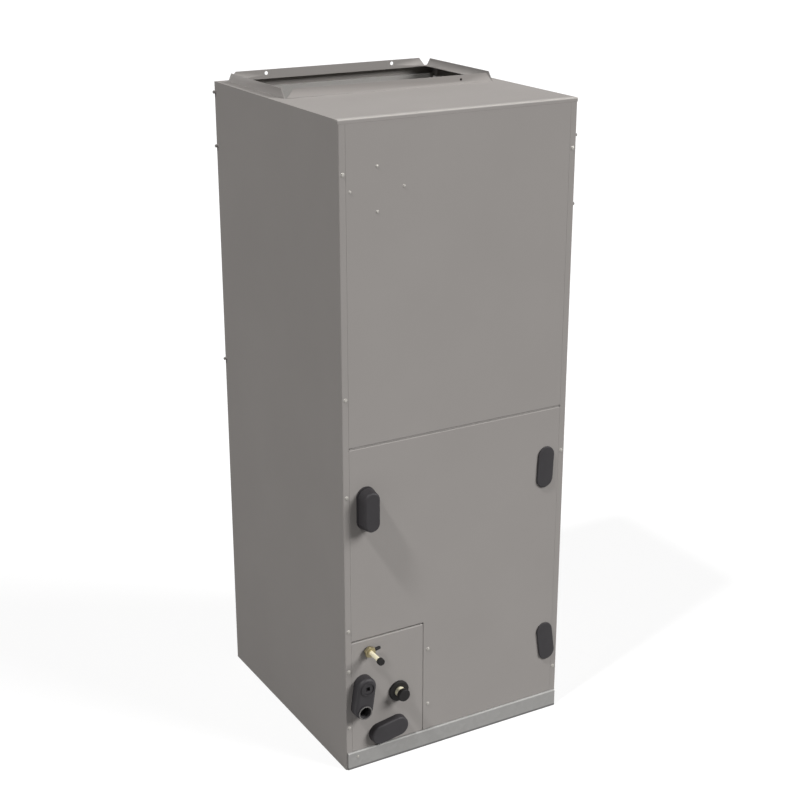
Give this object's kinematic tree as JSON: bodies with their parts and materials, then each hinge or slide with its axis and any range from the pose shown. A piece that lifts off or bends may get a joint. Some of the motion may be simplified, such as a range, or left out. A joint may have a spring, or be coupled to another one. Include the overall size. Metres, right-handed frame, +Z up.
{
  "type": "upright air handling unit",
  "caption": "Upright sheet-steel air handling unit: blower over an A-shaped coil, return air through the base, supply air through a flanged opening in the top, pipe stubs in front.",
  "frame": {"origin": "centre of the return opening in the plane of the base", "axes": "+Z up, -Y out of the front panels, +X to the right as seen from the front"},
  "size_m": [0.533, 0.613, 1.3845],
  "materials": {
    "painted_steel": "warm grey semi-matt baked paint on sheet steel",
    "galvanised_steel": "bare galvanised sheet",
    "black_plastic": "moulded dark grey plastic",
    "rubber": "soft black rubber",
    "brass": "bright pale brass",
    "insulation": "grey faced glass fibre board",
    "coil_fins": "closely stacked bare fins",
    "motor_enamel": "black enamel"
  },
  "bodies": {
    "root": {"left_side_panel": "painted_steel", "right_side_panel": "painted_steel", "back_panel": "painted_steel", "top_panel": "painted_steel", "upper_front_panel": "painted_steel", "coil_access_panel": "painted_steel", "connection_panel": "painted_steel", "base_rail": "galvanised_steel", "base_pan": "galvanised_steel", "upper_left_drain_cap": "black_plastic", "upper_right_drain_plug": "black_plastic", "lower_right_drain_plug": "black_plastic", "front_drain_cap": "black_plastic", "drain_port_block": "black_plastic", "upper_socket_plug": "black_plastic", "liquid_line": "brass", "liquid_line_nut": "brass", "service_port_cap": "rubber", "liquid_line_cap": "rubber", "liquid_line_grommet": "rubber", "suction_line": "brass", "suction_line_cap": "rubber", "suction_line_grommet": "rubber", "left_liner": "insulation", "right_liner": "insulation", "back_liner": "insulation", "front_liner": "insulation", "blower_deck": "galvanised_steel", "left_deck_rail": "galvanised_steel", "right_deck_rail": "galvanised_steel", "blower_left_plate": "galvanised_steel", "blower_right_plate": "galvanised_steel", "blower_scroll": "galvanised_steel", "blower_wheel": "galvanised_steel", "blower_motor": "motor_enamel", "motor_bracket": "galvanised_steel", "coil_left_slab": "coil_fins", "coil_right_slab": "coil_fins", "coil_front_plate": "galvanised_steel", "coil_back_plate": "galvanised_steel", "drain_pan": "black_plastic", "left_coil_rail": "galvanised_steel", "right_coil_rail": "galvanised_steel"}
  },
  "joints": []
}
